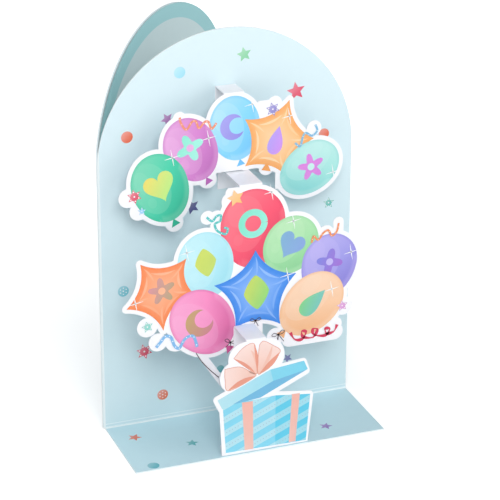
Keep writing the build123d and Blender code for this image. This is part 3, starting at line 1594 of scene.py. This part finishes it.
UPPER_CLUSTER = PrintedLayer(
    "upper_balloons",
    "upper_balloon_print",
    "upper_print",
    (
        Balloon(-0.7, 154.5, 12.7, 15.3, 17.2, 9,
                palette("86d6fb", "bfe8fb", "6fc0f2", "a9a4ec", "8f86e0"), Motif.CRESCENT, 7.5),
        Balloon(-23.1, 146.5, 12.8, 15.7, 18.0, 27,
                palette("da86cf", "edb4e2", "bd66b6", "8de8cf", "aef3e4"), Motif.CLOVER, 7.2),
        Balloon(-38.4, 129.5, 13.9, 16.6, 19.2, 21,
                palette("46cfa8", "8edcbc", "2eb692", "f0dc6a", "b8f28c"), Motif.HEART, 7.8),
        Knot(((15.6, 134.4), (12.8, 130.8), (17.6, 129.6)), "f8a65c"),
        FoilStar(
            ((4.4, 157.4), (4.5, 133.8), (25.7, 126.0), (39.6, 143.5), (26.9, 164.5)),
            0.14, palette("fdc285", "fed9ac", "f8a65c", "a5a4f2", "dd92f0"), Motif.DROP, 7.2, -14,
        ),
        Balloon(38.4, 129.2, 12.8, 15.2, 17.0, -60,
                palette("a5e4dc", "c9efe9", "7bcfce", "e28ae0", "d884dc"), Motif.FLOWER, 7.0, False),
        Sprinkle(-50.9, 125.8, 3.7, 6, 0.52, 10, "e2395c", True),
        Sprinkle(-47.3, 118.0, 2.2, 5, 0.45, 0, "8fd0f5", True),
        Sprinkle(18.4, 160.8, 3.6, 6, 0.52, 14, "8c82cc", True),
        CurledRibbon(
            1.1, "f49877",
            ((-28.1, 162.3), (-27.6, 159.6), (-25.0, 155.9), (-22.2, 159.3), (-20.2, 159.4),
             (-18.6, 155.9), (-15.8, 158.6), (-13.8, 158.2), (-12.4, 154.8), (-9.9, 157.4)),
            "fff4f0",
        ),
        CurledRibbon(
            1.1, "86bcdc",
            ((30.0, 142.4), (32.6, 140.4), (34.0, 145.2), (35.6, 146.8), (38.6, 145.0),
             (41.3, 147.2), (40.3, 150.4)),
            "ffffff",
        ),
        Sparkle(-32.0, 142.8),
        Sparkle(-13.9, 150.3),
        Sparkle(7.9, 164.6),
        Sparkle(26.9, 156.4),
        Sparkle(50.0, 125.0),
    ),
)
LOWER_CLUSTER = PrintedLayer(
    "lower_balloons",
    "lower_balloon_print",
    "lower_print",
    (
        Balloon(2.0, 111.5, 16.4, 17.5, 22.5, 0,
                palette("f8536f", "fb8490", "e03a5c", "7fe3c6", "9becdc"), Motif.RING, 8.4, False),
        Balloon(-21.9, 95.0, 13.9, 15.6, 18.5, 10,
                palette("b6e9f2", "cdf2f6", "9addea", "d2dd62", "c3d96a"), Motif.DIAMOND, 7.4, False),
        Balloon(21.5, 98.1, 13.9, 14.8, 15.6, -33,
                palette("a2dea4", "c3eabd", "85cb90", "7fb0d0", "88a6dc"), Motif.HEART, 7.0, False),
        Balloon(41.6, 86.0, 14.4, 14.7, 19.0, -12,
                palette("a09be4", "c4b8ef", "8276cf", "7f84da", "a46fd2"), Motif.CLOVER, 7.0, False),
        FoilStar(
            ((-31.4, 98.6), (-54.2, 98.8), (-61.3, 77.0), (-43.2, 63.2), (-28.8, 81.1)),
            0.14, palette("fda173", "feb892", "f88347", "d9939a", "b9a57c"), Motif.FLOWER, 7.0, 10,
        ),
        FoilStar(
            ((3.3, 97.7), (-17.7, 82.5), (-6.9, 58.8), (16.3, 57.1), (24.3, 82.7)),
            0.14, palette("5f9cee", "97bff7", "2f84e2", "d3d95a", "7fd67c"), Motif.DIAMOND, 9.0, 4,
        ),
        Balloon(-24.1, 65.1, 15.0, 17.6, 19.8, 40,
                palette("f98fc3", "fbb0d6", "d45796", "c5a56c", "cf8291"), Motif.CRESCENT, 8.4),
        Balloon(33.3, 66.0, 14.6, 17.2, 19.4, -48,
                palette("fbcaa2", "fcdcc2", "f2b27c", "84d67c", "74bccb"), Motif.DROP, 8.4),
        Sprinkle(-6.9, 125.7, 4.4, 5, 0.5, 12, "fdc074"),
        Sprinkle(48.7, 61.7, 3.0, 5, 0.5, 8, "d992d0", True),
        Sprinkle(-51.2, 66.4, 3.0, 5, 0.5, 12, "84d3c6", True),
        CurledRibbon(
            1.1, "5cc6c2",
            ((-21.3, 118.0), (-18.6, 115.6), (-16.4, 117.8), (-14.3, 118.0), (-14.6, 115.2),
             (-17.2, 114.0), (-16.0, 110.4), (-12.0, 108.2), (-10.8, 110.6), (-12.6, 111.6)),
            "eafaf8",
        ),
        CurledRibbon(
            1.5, "86bdeb",
            ((-47.0, 55.0), (-44.6, 57.6), (-42.4, 60.0), (-39.6, 59.2), (-37.8, 54.4),
             (-35.4, 52.8), (-33.0, 56.6), (-30.4, 58.2), (-28.0, 57.4), (-26.4, 52.0)),
            "ffffff",
        ),
        CurledRibbon(
            1.0, "f1935f",
            ((32.0, 97.4), (33.0, 100.6), (35.4, 98.4), (38.0, 101.6), (40.6, 102.6),
             (42.4, 99.6), (45.0, 101.4), (45.9, 105.6)),
            "fff0ea",
        ),
        CurledRibbon(
            1.7, "d8395a",
            ((21.6, 51.6), (24.0, 47.6), (28.0, 47.2), (29.8, 50.6), (27.6, 51.4), (28.4, 48.2),
             (33.6, 47.2), (35.8, 51.0), (33.4, 51.6), (34.2, 48.4), (40.0, 47.2), (42.4, 50.2),
             (40.0, 50.8), (40.8, 48.0), (44.6, 48.6), (46.2, 52.0)),
            turns=9,
        ),
        Sparkle(11.2, 126.3),
        Sparkle(22.5, 110.0),
        Sparkle(19.8, 82.4),
        Sparkle(43.0, 71.5),
        Sparkle(52.8, 89.6),
        Sparkle(-31.2, 101.4),
        Sparkle(-56.9, 79.3),
        StringBow(-9.5, 51.5, 3.2, -20, 3.0),
        StringBow(15.4, 51.6, 3.4, 15, 4.6),
        StringBow(3.4, 61.0, 2.8, 0, 3.0),
        CurledRibbon(0.4, "5a4750", ((-27.0, 48.8), (-24.0, 43.6), (-19.6, 38.2), (-15.4, 33.8))),
        CurledRibbon(0.35, "5a4750", ((15.3, 51.4), (14.6, 48.2), (13.0, 43.4), (11.6, 38.4))),
    ),
)
GIFT_BOX = PrintedLayer("gift_box", "gift_box_print", "gift_print", (BoxWithBow(),))


class Lamp(NamedTuple):
    """A square soft lamp: its name, its place and side in metres, and its power in watts."""

    name: str
    place: tuple[float, float, float]
    size: float
    power: float


@dataclass(frozen=True)
class Studio:
    """The floor, the lamps and the camera.

    Attributes:
        camera_place: Where the camera stands, in metres.
        camera_target: What it looks at.
        lens: Its focal length, in millimetres on a sensor 36 mm wide.
        roll: Its turn about its own axis, in degrees.
        shadow_reach: How far the floor keeps its soft shadow, in metres.
        floor_reach: How far the floor goes each way, in metres.
        floor_paint: How light the floor's paint is.
        far_glow: How much light the floor shows of its own, far from the card.
        near_glow: How much it shows near the card, where the shadow lies.
        sky: The colour that the sky lights the card with.
        lamps: The lamps.
        lamp_aim: The point that they face.
    """

    camera_place: tuple[float, float, float] = (-0.332902, -0.916294, 0.492123)
    camera_target: tuple[float, float, float] = (0.012032, -0.019722, 0.085367)
    lens: float = 153.287
    roll: float = 0.27
    shadow_reach: float = 0.5
    floor_reach: float = 6.0
    floor_paint: float = 0.93
    far_glow: float = 0.6
    near_glow: float = 0.2
    sky: Colour = (0.4, 0.425, 0.44)
    lamps: tuple[Lamp, ...] = (
        Lamp("key_lamp", (-0.3, -1.25, 1.05), 0.7, 12.0),
        Lamp("fill_lamp", (1.0, -1.0, 0.6), 1.2, 5.0),
        Lamp("back_lamp", (-0.8, 1.3, 0.9), 0.9, 5.0),
    )
    lamp_aim: tuple[float, float, float] = (0.0, 0.0, 0.09)

    def build(self) -> None:
        """Make the floor, the world, the lamps and the camera."""
        self.floor()
        self.world()
        for lamp in self.lamps:
            self.hang(lamp)
        self.camera()

    def floor(self) -> None:
        """Make a wide pale floor that keeps the card's shadow."""
        mesh = bpy.data.meshes.new("floor")
        reach = self.floor_reach
        mesh.from_pydata(
            [(-reach, -reach, 0), (reach, -reach, 0), (reach, reach, 0), (-reach, reach, 0)],
            [],
            [(0, 1, 2, 3)],
        )
        floor = bpy.data.objects.new("floor", mesh)
        bpy.context.scene.collection.objects.link(floor)
        tree = ShaderTree("floor_paint")
        tree.set("Base Color", (*[self.floor_paint] * 3, 1))
        tree.set("Roughness", 0.9)
        tree.set("Specular IOR Level", 0.0)
        path = tree.node("ShaderNodeLightPath", {}, {})
        camera_ray, glossy_ray, passing_ray = (
            Number(tree, path.outputs[name])
            for name in ("Is Camera Ray", "Is Glossy Ray", "Is Transmission Ray")
        )
        spread = tree.node(
            "ShaderNodeTexGradient",
            {"gradient_type": "QUADRATIC_SPHERE"},
            {"Vector": tree.scaled_place(1 / self.shadow_reach)},
        )
        near = Number(tree, spread.outputs[1])
        glow = tree.tint((*[self.far_glow] * 3, 1), near, (*[self.near_glow] * 3, 1))
        seen = camera_ray + glossy_ray + passing_ray
        tree.set("Emission Color", tree.tint((0, 0, 0, 1), seen, glow))
        tree.set("Emission Strength", 1.0)
        mesh.materials.append(tree.material)

    def world(self) -> None:
        """Make a soft pale sky, plain white to the camera."""
        world = bpy.data.worlds.new("studio")
        bpy.context.scene.world = world
        world.use_nodes = True
        tree = NodeTree(world.node_tree)
        path = tree.node("ShaderNodeLightPath", {}, {})
        seen = Number(tree, path.outputs["Is Camera Ray"])
        sky = tree.tint((*self.sky, 1), seen, (1, 1, 1, 1))
        light = tree.node("ShaderNodeBackground", {}, {"Color": sky})
        tree.node("ShaderNodeOutputWorld", {}, {"Surface": light.outputs[0]})

    def hang(self, lamp: Lamp) -> None:
        """Hang a lamp that faces the card.

        Args:
            lamp: The lamp.
        """
        light = bpy.data.lights.new(lamp.name, "AREA")
        light.size = lamp.size
        light.energy = lamp.power
        hung = bpy.data.objects.new(lamp.name, light)
        hung.location = lamp.place
        aim = Vector(self.lamp_aim) - Vector(lamp.place)
        hung.rotation_euler = aim.to_track_quat("-Z", "Y").to_euler()
        bpy.context.scene.collection.objects.link(hung)

    def camera(self) -> None:
        """Make the camera at the photograph's view."""
        data = bpy.data.cameras.new("camera")
        data.sensor_width = 36.0
        data.lens = self.lens
        data.clip_start = 0.05
        camera = bpy.data.objects.new("camera", data)
        aim = Vector(self.camera_target) - Vector(self.camera_place)
        turn = aim.to_track_quat("-Z", "Y").to_matrix().to_4x4()
        roll = Matrix.Rotation(math.radians(self.roll), 4, "Z")
        camera.matrix_world = Matrix.Translation(self.camera_place) @ turn @ roll
        bpy.context.scene.collection.objects.link(camera)
        bpy.context.scene.camera = camera


def main() -> None:
    """Build the looks of the card, piece by piece."""
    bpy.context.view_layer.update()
    _, upper_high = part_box("upper_balloons")
    gift_low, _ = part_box("gift_box")
    panel_face, base_top = upper_high.y, gift_low.z

    card_stock, white_paper = CARD_STOCK.material(), WHITE_PAPER.material()
    card_ink, layer_ink = CARD_INK.material(), LAYER_INK.material()
    FoldedCard().build(card_stock, card_ink, panel_face, base_top)
    for layer in (UPPER_CLUSTER, LOWER_CLUSTER, GIFT_BOX):
        layer.build(white_paper, layer_ink, base_top)
    Studio().build()

    scene = bpy.context.scene
    scene.view_settings.view_transform = "Standard"
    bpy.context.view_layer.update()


if __name__ == "__main__":
    logging.basicConfig(level=logging.INFO)
    main()
